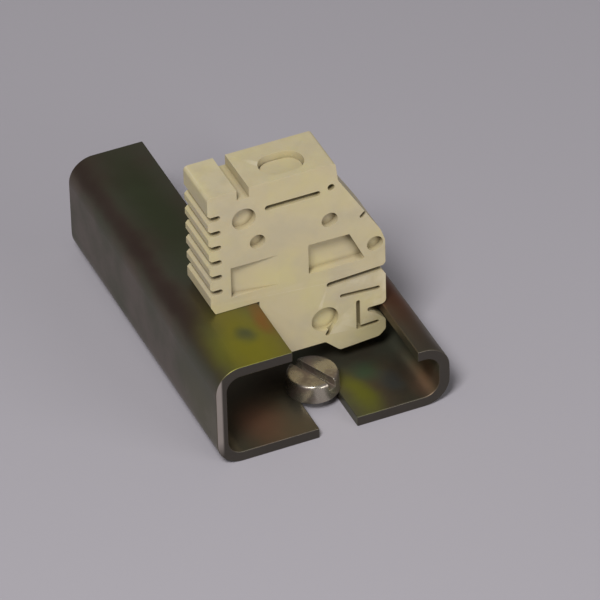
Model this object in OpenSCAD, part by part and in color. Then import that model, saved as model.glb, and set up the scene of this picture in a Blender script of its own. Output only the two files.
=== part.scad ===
// End stop on a short length of G-section mounting rail, with the rail's fixing screw.
// The rail runs along Y, its open side faces up, and z = 0 is its flat underside.

/* [Rail section] */
// Overall width of the rail
rail_w = 32; // [30:0.5:36]
// Height of the tall side
rail_h = 15; // [14:0.5:18]
// Height of the low side
low_h = 9; // [8:0.5:10]
// Thickness of the rail sheet
sheet_t = 1.5; // [1:0.1:1.8]
// Inside radius of the four folds
fold_r = 2; // [0.8:0.1:2.2]
// Width of the tall side's lip, from the rail's outer face to its free edge
tall_lip = 10.5; // [9:0.1:11.5]
// Width of the low side's lip, from the rail's outer face to its free edge
low_lip = 4.4; // [4.2:0.1:5.5]

/* [Rail length and slots] */
// Length of the rail piece
rail_len = 48.5; // [44:0.5:120]
// Width of the slots in the base
slot_w = 5.2; // [4.6:0.1:6.2]
// Length of a slot, end to end
slot_len = 18; // [12:0.5:20]
// Distance between slot centres
slot_pitch = 25; // [22:0.5:40]
// Centre of the first slot, from the near end
slot_start = 1.5; // [0:0.5:4]
// Sideways place of the slots, from the middle of the rail
slot_side = 0.5; // [-1:0.1:1]

/* [Stop body] */
// Thickness of the body along the rail
body_t = 7.5; // [6.5:0.1:10]
// Height of the body above the tall lip
body_h = 18.4; // [17.6:0.1:24]
// Distance of the body's front face from the near end of the rail
body_pos = 11; // [6:0.5:30]
// Distance of the body's left face from the rail's outer face
left_inset = 4.2; // [3.8:0.1:5]
// How far the body reaches over the low lip
arm_reach = 0.6; // [0.4:0.1:1.2]
// Width of the flat top, measured from the left face
top_w = 17.4; // [16.4:0.1:18.4]
// Vertical drop from the flat top to the start of the slope
shoulder_drop = 2.8; // [1.5:0.1:4]
// Height of the foot of the slope above the low lip
slope_foot = 12; // [11:0.1:13]

/* [Hook and foot] */
// Reach of the hook under the tall lip
hook_reach = 2.6; // [1.5:0.1:3.5]
// Height of the spring foot above the rail's base
foot_lift = 2.1; // [1.5:0.1:2.6]
// Width of the sprung slot above the foot
spring_gap = 0.75; // [0.5:0.05:1.2]
// Length of the sprung slot
spring_len = 7.8; // [6:0.1:9]
// Height of the sprung slot above the low lip
spring_rise = 5.8; // [5:0.1:6.4]

/* [Grip ribs] */
// Number of grooves in the left edge
groove_count = 6; // [3:1:7]
// Distance between grooves
groove_pitch = 2.31; // [1.8:0.01:2.4]
// Depth of a groove
groove_depth = 1.7; // [0.8:0.1:1.9]
// Width of a groove
groove_w = 0.75; // [0.4:0.05:1]
// Height of the lowest groove above the tall lip
groove_rise = 3.4; // [3:0.1:4.5]

/* [Top] */
// Width of the marker channel
channel_w = 1.65; // [1:0.05:2]
// Depth of the marker channel
channel_depth = 1.5; // [0.8:0.1:2.5]
// Distance of the channel from the left face
channel_inset = 4; // [3:0.1:4.6]
// Length of the marker socket
socket_len = 6; // [5:0.1:7]
// Width of the marker socket
socket_w = 4.2; // [3:0.1:4.6]
// Depth of the marker socket
socket_depth = 5.6; // [5:0.1:8]
// Centre of the socket from the left face
socket_inset = 11.3; // [10.6:0.1:11.8]
// Thickness of the wall in front of the socket
socket_wall = 0.9; // [0.6:0.1:1.4]
// Length of the latch window in front of the socket
window_len = 6.8; // [5:0.1:7.4]
// Height of the latch window
window_h = 0.75; // [0.5:0.05:1]
// Depth of the window's middle below the flat top
window_drop = 4; // [3.4:0.1:4.4]

/* [Front face relief] */
// Depth of the round pockets
pocket_depth = 0.9; // [0.4:0.1:1.5]
// Depth of the ramped label field at its left edge
field_depth = 0.9; // [0.4:0.1:1.5]
// Depth of the four-sided pocket
trapeze_depth = 1.2; // [0.6:0.1:1.8]
// Width of the moulded lines
line_w = 0.55; // [0.3:0.05:0.8]
// Depth of the moulded lines
line_depth = 0.6; // [0.3:0.05:1]

/* [Fixing screw] */
// Distance of the screw from the near end of the rail
screw_pos = 8; // [6:0.5:8.2]
// Diameter of the screw's shank
shank_d = 4; // [3:0.5:4.5]
// Diameter of the screw's head
head_d = 7; // [6.4:0.1:8]
// Height of the screw's head
head_h = 2.6; // [1.8:0.1:3]
// Width of the driver slot
driver_w = 1.2; // [0.8:0.1:1.4]
// Depth of the driver slot
driver_depth = 1.1; // [0.6:0.1:1.4]
// Turn of the driver slot from the rail's length
driver_turn = 24; // [0:1:90]

/* [Fits] */
// Gap where the body rests on the two lips
seat_gap = 0.05; // [0.03:0.01:0.2]
// Gap between the body and a lip's free edge or underside
lip_gap = 0.3; // [0.15:0.05:0.4]
// Clearance between the body and the top of the screw's head
head_gap = 1.4; // [0.8:0.1:1.8]

/* [Hidden] */
$fn = 64;
cut = 1;                                  // how far a cutting tool runs past a face
arc_steps = 6;                            // straight steps in a rounded outline corner

near_y = -rail_len / 2;
left_x = -rail_w / 2;
right_x = rail_w / 2;
outer_r = fold_r + sheet_t;
body_y = near_y + body_pos;

face_x = left_x + left_inset;             // left face of the body
stem_x = left_x + tall_lip + lip_gap;     // stem beside the tall lip's free edge
hook_x = stem_x - lip_gap - hook_reach;
lip_x = right_x - low_lip;                // free edge of the low lip
arm_x = lip_x + arm_reach;                // right face of the body
seat_z = rail_h + seat_gap;
arm_z = low_h + seat_gap;
top_z = rail_h + body_h;
hook_z = rail_h - sheet_t - lip_gap;
foot_z = sheet_t + foot_lift;
stem_z = sheet_t + head_h + head_gap;     // the stem passes over the screw's head
foot_x = slot_side + head_d / 2 + 1.7;    // the foot passes beside it
shoulder_x = face_x + top_w;
slope_z = low_h + slope_foot;
spring_z = low_h + spring_rise;
socket_x = face_x + socket_inset;
socket_y = body_y + socket_wall + socket_w / 2;

// Unit vector from a towards b
function toward(a, b) = (b - a) / norm(b - a);

// Points that round the corner at q, between p and s, with radius r
function corner(p, q, s, r) =
    let (u = toward(q, p), v = toward(q, s),
         half = acos(max(-1, min(1, u * v))) / 2,
         reach = min(r / tan(half), 0.49 * norm(p - q), 0.49 * norm(s - q)),
         rr = reach * tan(half),
         c = q + toward([0, 0], u + v) * rr / sin(half),
         from = q + u * reach - c, to = q + v * reach - c,
         a0 = atan2(from[1], from[0]), sweep = atan2(to[1], to[0]) - a0,
         turn = sweep > 180 ? sweep - 360 : sweep < -180 ? sweep + 360 : sweep)
    [for (i = [0 : arc_steps]) c + rr * [cos(a0 + turn * i / arc_steps), sin(a0 + turn * i / arc_steps)]];

// Outline through points [x, z, corner radius]
function rounded(pts) =
    let (n = len(pts), flat = [for (p = pts) [p[0], p[1]]])
    [for (i = [0 : n - 1])
        each (pts[i][2] == 0 ? [flat[i]]
            : corner(flat[(i + n - 1) % n], flat[i], flat[(i + 1) % n], pts[i][2]))];

// Extrudes an x-z shape along the rail, from y to y + depth
module along_rail(y, depth) {
    translate([0, y + depth, 0]) rotate([90, 0, 0]) linear_extrude(depth) children();
}

// Cuts an x-z shape into the front face
module sunk(depth) {
    along_rail(body_y - cut, depth + cut) children();
}

// Flat bar with round ends, lying from a to b
module round_bar(a, b, w) {
    span = b - a;
    translate(a) rotate(atan2(span[1], span[0])) {
        translate([0, -w / 2]) square([norm(span), w]);
        circle(d = w);
        translate([norm(span), 0]) circle(d = w);
    }
}

// Quarter of a fold, centred at c, in the given quadrant
module fold(c, quadrant) {
    translate(c) intersection() {
        difference() {
            circle(outer_r);
            circle(fold_r);
        }
        rotate(90 * quadrant) square(outer_r + cut);
    }
}

module rail_section() {
    base_len = rail_w - 2 * outer_r;
    translate([left_x + outer_r, 0]) square([base_len, sheet_t]);
    fold([left_x + outer_r, outer_r], 2);
    fold([right_x - outer_r, outer_r], 3);
    // tall side with its wide lip
    translate([left_x, outer_r]) square([sheet_t, rail_h - 2 * outer_r]);
    fold([left_x + outer_r, rail_h - outer_r], 1);
    translate([left_x + outer_r, rail_h - sheet_t]) square([tall_lip - outer_r, sheet_t]);
    // low side with its narrow lip
    translate([right_x - sheet_t, outer_r]) square([sheet_t, low_h - 2 * outer_r]);
    fold([right_x - outer_r, low_h - outer_r], 0);
    translate([right_x - low_lip, low_h - sheet_t]) square([low_lip - outer_r, sheet_t]);
}

module rail() {
    last_slot = floor((rail_len - slot_start + slot_len / 2 - 2) / slot_pitch);
    color("darkkhaki")
    difference() {
        along_rail(near_y, rail_len) rail_section();
        for (i = [0 : last_slot])
            translate([slot_side, near_y + slot_start + i * slot_pitch, -cut])
                linear_extrude(sheet_t + 2 * cut)
                    round_bar([0, -(slot_len - slot_w) / 2], [0, (slot_len - slot_w) / 2], slot_w);
    }
}

// Side view of the body, with its hook on the left and its spring foot on the right
module body_outline() {
    jaw_z = low_h - sheet_t;
    notch_x = lip_x - 2;
    polygon(rounded([
        [stem_x, seat_z, 0],
        [face_x + 0.6, seat_z, 0.2],
        [face_x, seat_z + 1.2, 0.4],
        [face_x, top_z, 0.6],
        [shoulder_x, top_z, 0.5],
        [shoulder_x + 0.3, top_z - shoulder_drop, 0.8],
        [arm_x - 0.6, slope_z, 1.5],
        [arm_x, slope_z - 1.8, 1.5],
        [arm_x, arm_z, 0.7],
        [notch_x, arm_z, 0.25],
        [notch_x, arm_z - 0.6, 0.25],
        [lip_x - 0.7, jaw_z + 0.2, 0.5],
        [arm_x - 0.1, jaw_z - 1, 0.6],
        [arm_x - 0.1, foot_z + 1.3, 0.8],
        [arm_x - 1, foot_z + 0.4, 0.8],
        [foot_x, foot_z, 0.7],
        [foot_x - 2, stem_z, 0.5],
        [stem_x + 1.2, stem_z, 0.8],
        [hook_x, stem_z + 3.4, 0.8],
        [hook_x, hook_z, 0.3],
        [stem_x, hook_z, 0]
    ]));
}

// Groove with a round bottom and an eased mouth, cut rightwards from the left face
module rib_groove(z) {
    translate([face_x, z]) {
        translate([-cut, -groove_w / 2]) square([groove_depth - groove_w / 2 + cut, groove_w]);
        translate([groove_depth - groove_w / 2, 0]) circle(d = groove_w);
        polygon([[-cut, groove_w / 2 + cut + 0.35], [0.35, groove_w / 2],
                 [0.35, -groove_w / 2], [-cut, -groove_w / 2 - cut - 0.35]]);
    }
}

// Slot that lets the foot flex, with a flared mouth at the right face
module spring_slot() {
    round_bar([arm_x - spring_len, spring_z - 0.3], [arm_x + cut, spring_z + 0.1], spring_gap);
    polygon([[arm_x - 0.7, spring_z], [arm_x + cut, spring_z + 1.9],
             [arm_x + cut, spring_z - 2.6]]);
}

// Openings that run right through the body from front to back
module through_cuts() {
    for (i = [0 : groove_count - 1]) rib_groove(rail_h + groove_rise + i * groove_pitch);
    spring_slot();
    // small eye beside the shoulder, and a nick in the slope
    translate([shoulder_x - 0.65, top_z - 3.6]) circle(d = 0.95);
    nick = [arm_x - 3.2, slope_z + 2.9];
    round_bar(nick, nick + [1.4, 1.3], 0.5);
    // marker channel
    translate([face_x + channel_inset, top_z - channel_depth]) square([channel_w, channel_depth + cut]);
}

module marker_socket() {
    half = (socket_len - socket_w) / 2;
    translate([socket_x, socket_y, top_z - socket_depth])
        linear_extrude(socket_depth + cut) round_bar([-half, 0], [half, 0], socket_w);
    along_rail(body_y - cut, socket_wall + socket_w / 2 + cut)
        round_bar([socket_x + 0.2 - window_len / 2, top_z - window_drop],
                  [socket_x + 0.2 + window_len / 2, top_z - window_drop], window_h);
}

// Field whose floor rises from left to right
module label_field() {
    x0 = face_x + 2.85;
    translate([0, 0, rail_h + 2])
        linear_extrude(4.6)
            polygon([[x0, body_y - cut], [x0 + 6.6, body_y - cut], [x0 + 6.6, body_y],
                     [x0, body_y + field_depth]]);
}

module round_pockets() {
    // [x, z, radius]
    upper = [[face_x + 4.85, top_z - 4.7, 1.6], [face_x + 6.6, top_z - 8.8, 1.05],
             [shoulder_x - 0.95, top_z - 8.65, 1.1]];
    lower = [[arm_x - 1.4, slope_z - 2, 1.1], [foot_x - 2, low_h + 0.2, 1.85]];
    sunk(pocket_depth)
        for (p = concat(upper, lower)) translate([p[0], p[1]]) circle(p[2]);
}

module moulded_lines() {
    sunk(line_depth) {
        // line below the spring slot
        round_bar([arm_x - 6.1, low_h + 3.15], [arm_x - 1.1, low_h + 2.85], line_w);
        // elbow behind the jaw
        round_bar([arm_x - 3.9, low_h + 1.4], [arm_x - 3.9, low_h - 2.7], line_w);
        round_bar([arm_x - 3.9, low_h - 2.7], [arm_x - 1.3, low_h - 2.6], line_w);
        // tail of the large pocket
        round_bar([foot_x - 0.9, low_h - 1], [foot_x - 1.7, low_h - 2.3], line_w);
    }
}

module trapeze_pocket() {
    x0 = arm_x - 10.55;
    sunk(trapeze_depth)
        polygon(rounded([[x0, low_h + 12.75, 0.2], [x0 + 5.65, low_h + 12.65, 0.2],
                         [x0 + 7.75, low_h + 8.1, 0.2], [x0, low_h + 8.1, 0.2]]));
}

module end_stop() {
    color("wheat")
    difference() {
        along_rail(body_y, body_t) difference() {
            body_outline();
            through_cuts();
        }
        marker_socket();
        label_field();
        round_pockets();
        trapeze_pocket();
        moulded_lines();
    }
}

// Slotted cheese-head screw that stands in the first slot, its head on the rail's base
module fixing_screw() {
    ease = 0.45;
    end_chamfer = 0.3;
    color("lightgray")
    translate([slot_side, near_y + screw_pos, sheet_t])
    difference() {
        rotate_extrude() polygon(concat(
            [[0, -sheet_t], [shank_d / 2 - end_chamfer, -sheet_t], [shank_d / 2, end_chamfer - sheet_t],
             [shank_d / 2, 0], [head_d / 2, 0]],
            [for (a = [0 : 15 : 90])
                [head_d / 2 - 0.12 - ease + ease * cos(a), head_h - ease + ease * sin(a)]],
            [[0, head_h]]));
        rotate(-90 + driver_turn) translate([-head_d, -driver_w / 2, head_h - driver_depth])
            cube([2 * head_d, driver_w, driver_depth + cut]);
    }
}

rail();
end_stop();
fixing_screw();
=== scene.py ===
import math
import bmesh
import bpy
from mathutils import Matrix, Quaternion, Vector


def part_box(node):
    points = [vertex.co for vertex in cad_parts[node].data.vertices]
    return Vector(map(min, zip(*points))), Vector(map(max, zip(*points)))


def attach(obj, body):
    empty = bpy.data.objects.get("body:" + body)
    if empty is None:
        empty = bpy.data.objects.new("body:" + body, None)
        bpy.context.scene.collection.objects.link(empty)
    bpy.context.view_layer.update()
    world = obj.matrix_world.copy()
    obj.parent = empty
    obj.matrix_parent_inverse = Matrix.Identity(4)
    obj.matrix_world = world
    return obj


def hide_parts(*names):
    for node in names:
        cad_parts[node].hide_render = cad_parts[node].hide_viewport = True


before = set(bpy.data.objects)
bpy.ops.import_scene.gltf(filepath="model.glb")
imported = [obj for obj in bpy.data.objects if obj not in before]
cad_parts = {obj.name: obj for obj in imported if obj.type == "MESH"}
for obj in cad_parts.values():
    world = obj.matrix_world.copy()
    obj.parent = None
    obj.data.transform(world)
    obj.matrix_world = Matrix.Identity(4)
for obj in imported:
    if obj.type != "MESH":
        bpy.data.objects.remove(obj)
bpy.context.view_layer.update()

mm = 0.001
weldReach = 0.002 * mm
flatAngle = math.radians(0.6)     # faces within this angle are one face again
print("frame loaded:", sorted(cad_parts))

railLow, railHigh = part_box("rail")
stopLow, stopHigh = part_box("end_stop")


# working helpers

def pickOnly(*pieces):
    if bpy.context.object and bpy.context.object.mode != "OBJECT":
        bpy.ops.object.mode_set(mode="OBJECT")
    bpy.ops.object.select_all(action="DESELECT")
    for piece in pieces:
        piece.select_set(True)
        bpy.context.view_layer.objects.active = piece


def addModifier(piece, kind, **settings):
    modifier = piece.modifiers.new(kind.title(), kind)
    for name, value in settings.items():
        setattr(modifier, name, value)
    pickOnly(piece)
    bpy.ops.object.modifier_apply(modifier=modifier.name)


def cleanCopy(nodeName, pieceName):
    # a welded copy of a CAD node, with its flat faces whole again, ready to be finished
    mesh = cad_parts[nodeName].data.copy()
    mesh.name = pieceName
    mesh.materials.clear()
    piece = bpy.data.objects.new(pieceName, mesh)
    bpy.context.scene.collection.objects.link(piece)
    pickOnly(piece)
    bpy.ops.object.mode_set(mode="EDIT")
    bpy.ops.mesh.select_all(action="SELECT")
    bpy.ops.mesh.remove_doubles(threshold=weldReach)
    bpy.ops.mesh.customdata_custom_splitnormals_clear()
    bpy.ops.mesh.dissolve_limited(angle_limit=flatAngle, delimit={"NORMAL"})
    bpy.ops.object.mode_set(mode="OBJECT")
    return piece


def slide(piece, test, move):
    # moves the corners of the piece that pass a test of their place
    pickOnly(piece)
    bpy.ops.object.mode_set(mode="EDIT")
    bpy.ops.mesh.select_mode(type="VERT")
    bpy.ops.mesh.select_all(action="DESELECT")
    shape = bmesh.from_edit_mesh(piece.data)
    for corner in shape.verts:
        corner.select_set(test(corner.co))
    shape.select_flush(True)
    bmesh.update_edit_mesh(piece.data)
    bpy.ops.transform.translate(value=move)
    bpy.ops.object.mode_set(mode="OBJECT")


def easeEdges(piece, width, steps, sharpAngle):
    addModifier(piece, "BEVEL", width=width, segments=steps, limit_method="ANGLE",
                angle_limit=math.radians(sharpAngle), offset_type="OFFSET", use_clamp_overlap=True,
                miter_outer="MITER_ARC", harden_normals=True)


def finishPiece(piece, body, node, material):
    piece.data.materials.clear()
    piece.data.materials.append(material)
    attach(piece, body)
    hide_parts(node)
    print("finished:", piece.name, len(piece.data.polygons), "faces")


# camera, floor and lights

cameraView = {
    "aim": Vector((2.602, -7.856, 8.824)) * mm,
    "azimuth": -22.863,
    "elevation": 38.336,
    "roll": -1.562,
    "distance": 0.79563,
    "lens": 375.06,
}


def awayFrom(azimuth, elevation):
    # unit vector from the object towards a place seen at that azimuth and elevation
    a, e = math.radians(azimuth), math.radians(elevation)
    return Vector((math.sin(a) * math.cos(e), -math.cos(a) * math.cos(e), math.sin(e)))


def placeCamera():
    back = awayFrom(cameraView["azimuth"], cameraView["elevation"])
    camera = bpy.data.objects.new("camera", bpy.data.cameras.new("camera"))
    bpy.context.scene.collection.objects.link(camera)
    camera.data.sensor_width = 36
    camera.data.lens = cameraView["lens"]
    camera.data.clip_start = 0.01
    camera.rotation_mode = "QUATERNION"
    level = (-back).to_track_quat("-Z", "Y")
    camera.rotation_quaternion = level @ Quaternion((0, 0, 1), math.radians(cameraView["roll"]))
    camera.location = cameraView["aim"] + back * cameraView["distance"]
    bpy.context.scene.camera = camera


softLights = {
    "overhead": {"azimuth": -41, "elevation": 54, "distance": 0.7, "size": 0.2, "share": 0.96},
    "front": {"azimuth": 28, "elevation": 15, "distance": 0.8, "size": 0.5, "share": 0.46},
}
skyShare = 0.15


def placeLights():
    # a share of 1 lights a facing surface so that its colour renders as written
    for name, light in softLights.items():
        lamp = bpy.data.lights.new(name, "AREA")
        lamp.size = light["size"]
        lamp.energy = light["share"] * (math.pi * light["distance"]) ** 2
        holder = bpy.data.objects.new(name, lamp)
        bpy.context.scene.collection.objects.link(holder)
        towards = awayFrom(light["azimuth"], light["elevation"])
        holder.location = cameraView["aim"] + towards * light["distance"]
        holder.rotation_mode = "QUATERNION"
        holder.rotation_quaternion = (-towards).to_track_quat("-Z", "Y")
    world = bpy.data.worlds.new("studio")
    world.use_nodes = True
    sky = world.node_tree.nodes["Background"]
    sky.inputs["Color"].default_value = (1, 1, 1, 1)
    sky.inputs["Strength"].default_value = skyShare
    bpy.context.scene.world = world


placeCamera()
placeLights()
bpy.context.scene.view_settings.view_transform = "Standard"
print("camera and lights placed")


# node helpers

def addNode(tree, kind, inputs=None, **settings):
    made = tree.nodes.new(kind)
    for name, value in settings.items():
        setattr(made, name, value)
    for name, value in (inputs or {}).items():
        socket = made.inputs[name]
        if isinstance(value, bpy.types.NodeSocket):
            tree.links.new(value, socket)
        else:
            socket.default_value = value
    return made


def rgba(colour):
    return (*colour, 1)


def newMaterial(name):
    material = bpy.data.materials.new(name)
    material.use_nodes = True
    tree = material.node_tree
    tree.nodes.clear()
    shader = tree.nodes.new("ShaderNodeBsdfPrincipled")
    output = tree.nodes.new("ShaderNodeOutputMaterial")
    tree.links.new(shader.outputs["BSDF"], output.inputs["Surface"])
    return material, tree, shader


def newGroup(name, inputs, outputs):
    group = bpy.data.node_groups.new(name, "ShaderNodeTree")
    for label, kind, value in inputs:
        socket = group.interface.new_socket(label, in_out="INPUT", socket_type=kind)
        if value is not None:
            socket.default_value = value
    for label, kind in outputs:
        group.interface.new_socket(label, in_out="OUTPUT", socket_type=kind)
    return group, group.nodes.new("NodeGroupInput"), group.nodes.new("NodeGroupOutput")


def place(tree, group, **values):
    made = tree.nodes.new("ShaderNodeGroup")
    made.node_tree = group
    for name, value in values.items():
        socket = made.inputs[name]
        if isinstance(value, bpy.types.NodeSocket):
            tree.links.new(value, socket)
        else:
            socket.default_value = value
    return made


def objectPoint(tree):
    return tree.nodes.new("ShaderNodeTexCoord").outputs["Object"]


def mixColour(tree, factor, first, second):
    made = addNode(tree, "ShaderNodeMix", data_type="RGBA")
    for socket, value in ((made.inputs[0], factor), (made.inputs[6], first), (made.inputs[7], second)):
        if isinstance(value, bpy.types.NodeSocket):
            tree.links.new(value, socket)
        else:
            socket.default_value = value
    return made.outputs[2]


def mathNode(tree, operation, first, second):
    made = addNode(tree, "ShaderNodeMath", operation=operation)
    for socket, value in zip(made.inputs, (first, second)):
        if isinstance(value, bpy.types.NodeSocket):
            tree.links.new(value, socket)
        else:
            socket.default_value = value
    return made.outputs[0]


# effects that several materials share

def buildCloudMask():
    # soft uneven clouding, 0 to 1
    group, given, result = newGroup("cloudMask", [
        ("Point", "NodeSocketVector", None), ("Scale", "NodeSocketFloat", 200.0),
        ("Low", "NodeSocketFloat", 0.4), ("High", "NodeSocketFloat", 0.6)],
        [("Mask", "NodeSocketFloat")])
    noise = addNode(group, "ShaderNodeTexNoise", {
        "Vector": given.outputs["Point"], "Scale": given.outputs["Scale"], "Detail": 4, "Roughness": 0.55})
    ramp = addNode(group, "ShaderNodeMapRange", {
        "Value": noise.outputs["Fac"], "From Min": given.outputs["Low"], "From Max": given.outputs["High"]},
        interpolation_type="SMOOTHSTEP")
    group.links.new(ramp.outputs["Result"], result.inputs["Mask"])
    return group


def buildSoftSpot():
    # wobbly patch round a point: 1 in the middle, 0 past its reach
    group, given, result = newGroup("softSpot", [
        ("Point", "NodeSocketVector", None), ("Centre", "NodeSocketVector", None),
        ("Stretch", "NodeSocketVector", (1, 1, 1)),
        ("Reach", "NodeSocketFloat", 0.004), ("Wobble", "NodeSocketFloat", 0.002)],
        [("Mask", "NodeSocketFloat")])
    noise = addNode(group, "ShaderNodeTexNoise", {
        "Vector": given.outputs["Point"], "Scale": 160, "Detail": 3})
    shifted = addNode(group, "ShaderNodeVectorMath", {
        0: noise.outputs["Color"], 1: (0.5, 0.5, 0.5)}, operation="SUBTRACT")
    scaled = addNode(group, "ShaderNodeVectorMath", {
        0: shifted.outputs[0], "Scale": given.outputs["Wobble"]}, operation="SCALE")
    moved = addNode(group, "ShaderNodeVectorMath", {
        0: given.outputs["Point"], 1: scaled.outputs[0]}, operation="ADD")
    away = addNode(group, "ShaderNodeVectorMath", {
        0: moved.outputs[0], 1: given.outputs["Centre"]}, operation="SUBTRACT")
    shaped = addNode(group, "ShaderNodeVectorMath", {
        0: away.outputs[0], 1: given.outputs["Stretch"]}, operation="DIVIDE")
    length = addNode(group, "ShaderNodeVectorMath", {0: shaped.outputs[0]}, operation="LENGTH")
    fall = addNode(group, "ShaderNodeMapRange", {
        "Value": length.outputs["Value"], "From Min": 0.0, "From Max": given.outputs["Reach"],
        "To Min": 1.0, "To Max": 0.0}, interpolation_type="SMOOTHERSTEP")
    group.links.new(fall.outputs["Result"], result.inputs["Mask"])
    return group


def buildEdgeHighlight():
    # 1 on convex edges, broken up by noise: the mask of a painted highlight along the edges
    group, given, result = newGroup("edgeHighlightMask", [
        ("Point", "NodeSocketVector", None), ("Start", "NodeSocketFloat", 0.52),
        ("Full", "NodeSocketFloat", 0.6), ("Breakup", "NodeSocketFloat", 900.0)],
        [("Mask", "NodeSocketFloat")])
    shape = addNode(group, "ShaderNodeNewGeometry")
    edge = addNode(group, "ShaderNodeMapRange", {
        "Value": shape.outputs["Pointiness"], "From Min": given.outputs["Start"],
        "From Max": given.outputs["Full"]})
    noise = addNode(group, "ShaderNodeTexNoise", {
        "Vector": given.outputs["Point"], "Scale": given.outputs["Breakup"], "Detail": 3})
    patchy = addNode(group, "ShaderNodeMapRange", {
        "Value": noise.outputs["Fac"], "From Min": 0.35, "From Max": 0.6})
    mask = mathNode(group, "MULTIPLY", edge.outputs["Result"], patchy.outputs["Result"])
    group.links.new(mask, result.inputs["Mask"])
    return group


def buildFineGrain():
    # height of a fine surface grain
    group, given, result = newGroup("fineGrain", [
        ("Point", "NodeSocketVector", None), ("Scale", "NodeSocketFloat", 3000.0),
        ("Broad", "NodeSocketFloat", 400.0)],
        [("Height", "NodeSocketFloat")])
    fine = addNode(group, "ShaderNodeTexNoise", {
        "Vector": given.outputs["Point"], "Scale": given.outputs["Scale"], "Detail": 3})
    broad = addNode(group, "ShaderNodeTexNoise", {
        "Vector": given.outputs["Point"], "Scale": given.outputs["Broad"], "Detail": 2})
    both = mathNode(group, "ADD", fine.outputs["Fac"], broad.outputs["Fac"])
    group.links.new(both, result.inputs["Height"])
    return group


def buildPaintedShade():
    # 1 deep in corners and recesses, 0 on open faces: the mask of painted shade
    group, given, result = newGroup("paintedShadeMask", [
        ("Reach", "NodeSocketFloat", 0.001), ("Open", "NodeSocketFloat", 0.85),
        ("Deep", "NodeSocketFloat", 0.35)],
        [("Mask", "NodeSocketFloat")])
    shade = addNode(group, "ShaderNodeAmbientOcclusion", {"Distance": given.outputs["Reach"]},
                    samples=12, only_local=True)
    mask = addNode(group, "ShaderNodeMapRange", {
        "Value": shade.outputs["AO"], "From Min": given.outputs["Open"],
        "From Max": given.outputs["Deep"]})
    group.links.new(mask.outputs["Result"], result.inputs["Mask"])
    return group


cloudMask = buildCloudMask()
softSpot = buildSoftSpot()
edgeHighlightMask = buildEdgeHighlight()
fineGrain = buildFineGrain()
paintedShadeMask = buildPaintedShade()
print("shared effects built")


# moulded stop

stopFinish = {
    "beige": (0.46, 0.39, 0.24),
    "greyer": (0.42, 0.36, 0.24),
    "yellower": (0.49, 0.425, 0.22),
    # the next colour is a painted highlight on convex edges, the one after it painted shade in corners and
    # recesses
    "edge": (0.58, 0.51, 0.36),
    "cornerShade": (0.17, 0.13, 0.065),
    "highlightShare": 0.6,
    "cornerShadeShare": 0.75,
    "edgeWidth": 0.13 * mm,
}


def plasticMaterial():
    material, tree, shader = newMaterial("beigePlastic")
    point = objectPoint(tree)
    grey = place(tree, cloudMask, Point=point, Scale=170, Low=0.42, High=0.68)
    yellow = place(tree, cloudMask, Point=point, Scale=110, Low=0.45, High=0.72)
    colour = mixColour(tree, grey.outputs["Mask"], rgba(stopFinish["beige"]), rgba(stopFinish["greyer"]))
    colour = mixColour(tree, yellow.outputs["Mask"], colour, rgba(stopFinish["yellower"]))
    # painted highlight: convex edges lightened towards the edge colour
    edgeLight = place(tree, edgeHighlightMask, Point=point, Start=0.53, Full=0.62, Breakup=500)
    highlighted = mathNode(tree, "MULTIPLY", edgeLight.outputs["Mask"], stopFinish["highlightShare"])
    colour = mixColour(tree, highlighted, colour, rgba(stopFinish["edge"]))
    # painted shade: corners and recesses darkened by an ambient occlusion mask
    cornerShade = place(tree, paintedShadeMask, Reach=1.1 * mm, Open=0.8, Deep=0.3)
    shaded = mathNode(tree, "MULTIPLY", cornerShade.outputs["Mask"], stopFinish["cornerShadeShare"])
    colour = mixColour(tree, shaded, colour, rgba(stopFinish["cornerShade"]))
    tree.links.new(colour, shader.inputs["Base Color"])
    rough = addNode(tree, "ShaderNodeMapRange", {
        "Value": grey.outputs["Mask"], "To Min": 0.48, "To Max": 0.6})
    tree.links.new(rough.outputs["Result"], shader.inputs["Roughness"])
    grain = place(tree, fineGrain, Point=point, Scale=5200, Broad=900)
    bump = addNode(tree, "ShaderNodeBump", {
        "Height": grain.outputs["Height"], "Strength": 0.12, "Distance": 0.03 * mm})
    tree.links.new(bump.outputs["Normal"], shader.inputs["Normal"])
    shader.inputs["Subsurface Weight"].default_value = 0.1
    shader.inputs["Subsurface Radius"].default_value = (0.9 * mm, 0.6 * mm, 0.3 * mm)
    shader.inputs["Specular IOR Level"].default_value = 0.4
    return material


def makeStop():
    stop = cleanCopy("end_stop", "endStop")
    easeEdges(stop, stopFinish["edgeWidth"], 2, 32)
    finishPiece(stop, "stop_body", "end_stop", plasticMaterial())


makeStop()


# blank marker in the stop's top socket: places from the stop's left, front and top, all in mm
blankMarker = {"fromLeft": 11.3, "fromFront": 3.0, "sunkBy": 0.8, "height": 2.2,
               "radius": 1.95, "reach": 0.9, "edge": 0.3}


def makeMarker():
    form = {name: value * mm for name, value in blankMarker.items()}
    x, y = stopLow.x + form["fromLeft"], stopLow.y + form["fromFront"]
    z = stopHigh.z - form["sunkBy"] - form["height"] / 2
    offCentre = 0.01 * mm
    pickOnly()
    bpy.ops.mesh.primitive_cylinder_add(vertices=48, radius=form["radius"], depth=form["height"],
                                        location=(x, y, z))
    marker = bpy.context.object
    marker.name = "blankMarker"
    bpy.ops.object.transform_apply(location=True, rotation=True, scale=True)
    # its two halves are drawn apart into a bar with round ends
    slide(marker, lambda p: p.x > x + offCentre, (form["reach"], 0, 0))
    slide(marker, lambda p: p.x < x - offCentre, (-form["reach"], 0, 0))
    easeEdges(marker, form["edge"], 3, 40)
    marker.data.materials.append(bpy.data.materials["beigePlastic"])
    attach(marker, "stop_body")
    print("finished:", marker.name)


makeMarker()


# steel rail

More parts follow.
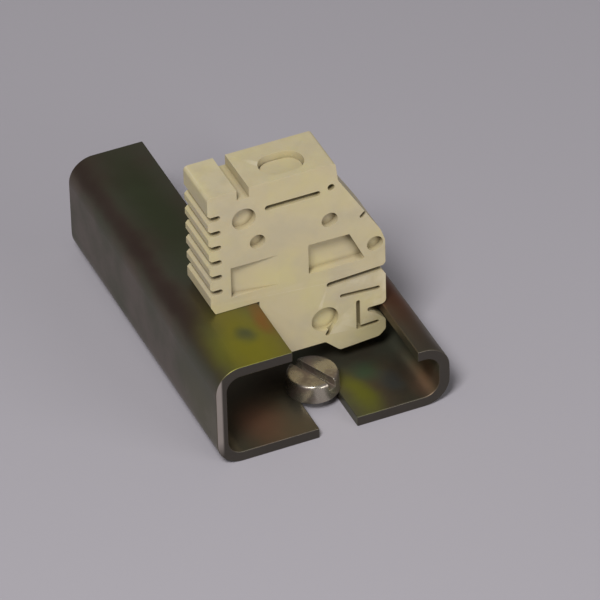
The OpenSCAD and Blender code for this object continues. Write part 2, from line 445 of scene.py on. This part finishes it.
railFinish = {
    "edgeWidth": 0.13 * mm,
    "drab": (0.135, 0.108, 0.078),
    "drabGreen": (0.115, 0.115, 0.08),
    "cutDark": (0.075, 0.066, 0.055),
    # painted highlight along the outer edge of the cut end on the tall side
    "cutHighlight": (0.42, 0.37, 0.33),
}
# yellow passivation drifts through these colours, and the first patch is a painted dark reflection along the
# top fold of the tall side: place in mm, stretch in mm, tint, strength
railTintsAndFoldReflection = [
    # painted dark reflection along the top fold of the tall side
    {"at": (-14.6, 0.0, 14.4), "stretch": (2.6, 70.0, 2.4), "tint": (0.095, 0.06, 0.05), "share": 0.85},
    {"at": (-9.5, 10.0, 15.0), "stretch": (5.5, 26.0, 2.5), "tint": (0.085, 0.10, 0.05), "share": 0.9},
    {"at": (-10.0, -21.0, 15.0), "stretch": (8.5, 17.0, 3.5), "tint": (0.27, 0.26, 0.03), "share": 1.0},
    {"at": (-9.4, -18.3, 15.0), "stretch": (2.6, 3.0, 2.0), "tint": (0.10, 0.12, 0.07), "share": 0.85},
    {"at": (-6.2, -16.5, 15.0), "stretch": (1.6, 6.0, 2.0), "tint": (0.28, 0.13, 0.04), "share": 0.8},
    {"at": (-15.8, -20.0, 6.0), "stretch": (2.0, 14.0, 7.0), "tint": (0.15, 0.14, 0.085), "share": 0.7},
    {"at": (-8.5, -19.5, 1.5), "stretch": (5.0, 7.0, 2.0), "tint": (0.24, 0.125, 0.085), "share": 0.8},
    {"at": (-3.2, -17.5, 1.5), "stretch": (3.0, 7.0, 2.0), "tint": (0.13, 0.125, 0.10), "share": 0.7},
    {"at": (5.5, -20.0, 1.5), "stretch": (3.2, 7.0, 2.0), "tint": (0.22, 0.24, 0.035), "share": 0.9},
    {"at": (8.4, -16.2, 1.5), "stretch": (3.0, 3.6, 2.0), "tint": (0.09, 0.155, 0.095), "share": 0.85},
    {"at": (10.0, -19.5, 1.5), "stretch": (2.4, 4.5, 2.0), "tint": (0.11, 0.12, 0.12), "share": 0.8},
    {"at": (13.3, -21.5, 2.5), "stretch": (3.0, 6.0, 4.0), "tint": (0.24, 0.14, 0.09), "share": 0.85},
    {"at": (13.5, -8.0, 9.0), "stretch": (5.0, 20.0, 3.5), "tint": (0.17, 0.062, 0.03), "share": 0.95},
    {"at": (14.5, -23.0, 9.0), "stretch": (3.0, 5.0, 3.0), "tint": (0.11, 0.085, 0.06), "share": 0.8},
]


def steelMaterial():
    material, tree, shader = newMaterial("passivatedSteel")
    point = objectPoint(tree)
    haze = place(tree, cloudMask, Point=point, Scale=90, Low=0.38, High=0.66)
    colour = mixColour(tree, haze.outputs["Mask"], rgba(railFinish["drab"]), rgba(railFinish["drabGreen"]))
    for patch in railTintsAndFoldReflection:
        spot = place(tree, softSpot, Point=point, Centre=Vector(patch["at"]) * mm,
                     Stretch=patch["stretch"], Reach=mm, Wobble=3 * mm)
        share = mathNode(tree, "MULTIPLY", spot.outputs["Mask"], patch["share"])
        colour = mixColour(tree, share, colour, rgba(patch["tint"]))
    # the cut near and far ends are dark, with a painted highlight along the outer edge on the tall side
    facing = addNode(tree, "ShaderNodeSeparateXYZ", {
        0: tree.nodes.new("ShaderNodeTexCoord").outputs["Normal"]})
    where = addNode(tree, "ShaderNodeSeparateXYZ", {0: point})
    flat = mathNode(tree, "ABSOLUTE", facing.outputs["Y"], 0.0)
    cut = addNode(tree, "ShaderNodeMapRange", {"Value": flat, "From Min": 0.75, "From Max": 0.9})
    ends = addNode(tree, "ShaderNodeMapRange", {
        "Value": mathNode(tree, "ABSOLUTE", where.outputs["Y"], 0.0),
        "From Min": railHigh.y - 0.3 * mm, "From Max": railHigh.y - 0.2 * mm})
    cutEnd = mathNode(tree, "MULTIPLY", cut.outputs["Result"], ends.outputs["Result"])
    colour = mixColour(tree, cutEnd, colour, rgba(railFinish["cutDark"]))
    tallSide = addNode(tree, "ShaderNodeMapRange", {
        "Value": where.outputs["X"], "From Min": railLow.x + 0.95 * mm, "From Max": railLow.x + 0.7 * mm})
    above = addNode(tree, "ShaderNodeMapRange", {
        "Value": where.outputs["Z"], "From Min": 1.5 * mm, "From Max": 4 * mm})
    onTallSide = mathNode(tree, "MULTIPLY", cutEnd, tallSide.outputs["Result"])
    glinting = mathNode(tree, "MULTIPLY", onTallSide, above.outputs["Result"])
    colour = mixColour(tree, glinting, colour, rgba(railFinish["cutHighlight"]))
    tree.links.new(colour, shader.inputs["Base Color"])
    shader.inputs["Metallic"].default_value = 0.85
    rough = addNode(tree, "ShaderNodeMapRange", {
        "Value": haze.outputs["Mask"], "To Min": 0.36, "To Max": 0.5})
    tree.links.new(rough.outputs["Result"], shader.inputs["Roughness"])
    grain = place(tree, fineGrain, Point=point, Scale=2600, Broad=260)
    bump = addNode(tree, "ShaderNodeBump", {
        "Height": grain.outputs["Height"], "Strength": 0.2, "Distance": 0.04 * mm})
    tree.links.new(bump.outputs["Normal"], shader.inputs["Normal"])
    return material


def makeRail():
    rail = cleanCopy("rail", "railPiece")
    easeEdges(rail, railFinish["edgeWidth"], 2, 40)
    finishPiece(rail, "rail_body", "rail", steelMaterial())


makeRail()


# fixing screw

screwFinish = {
    "edgeWidth": 0.12 * mm,
    "steel": (0.44, 0.40, 0.33),
    "tarnish": (0.27, 0.22, 0.19),
}


def screwMaterial():
    material, tree, shader = newMaterial("screwSteel")
    point = objectPoint(tree)
    stain = place(tree, cloudMask, Point=point, Scale=420, Low=0.42, High=0.62)
    colour = mixColour(tree, stain.outputs["Mask"], rgba(screwFinish["steel"]), rgba(screwFinish["tarnish"]))
    tree.links.new(colour, shader.inputs["Base Color"])
    shader.inputs["Metallic"].default_value = 0.9
    rough = addNode(tree, "ShaderNodeMapRange", {
        "Value": stain.outputs["Mask"], "To Min": 0.25, "To Max": 0.5})
    tree.links.new(rough.outputs["Result"], shader.inputs["Roughness"])
    grain = place(tree, fineGrain, Point=point, Scale=3000, Broad=600)
    bump = addNode(tree, "ShaderNodeBump", {
        "Height": grain.outputs["Height"], "Strength": 0.3, "Distance": 0.05 * mm})
    tree.links.new(bump.outputs["Normal"], shader.inputs["Normal"])
    return material


def makeScrew():
    screw = cleanCopy("fixing_screw", "fixingScrew")
    easeEdges(screw, screwFinish["edgeWidth"], 2, 40)
    finishPiece(screw, "rail_body", "fixing_screw", screwMaterial())


makeScrew()


# floor

floorFinish = {"size": 4.0, "colour": (0.365, 0.345, 0.375)}


def makeFloor():
    pickOnly()
    bpy.ops.mesh.primitive_plane_add(size=floorFinish["size"], location=(0, 0, railLow.z - 0.02 * mm))
    floor = bpy.context.object
    floor.name = "floor"
    material, tree, shader = newMaterial("paleFloor")
    shader.inputs["Base Color"].default_value = rgba(floorFinish["colour"])
    shader.inputs["Roughness"].default_value = 0.9
    shader.inputs["Specular IOR Level"].default_value = 0.1
    floor.data.materials.append(material)


makeFloor()
print("floor laid")
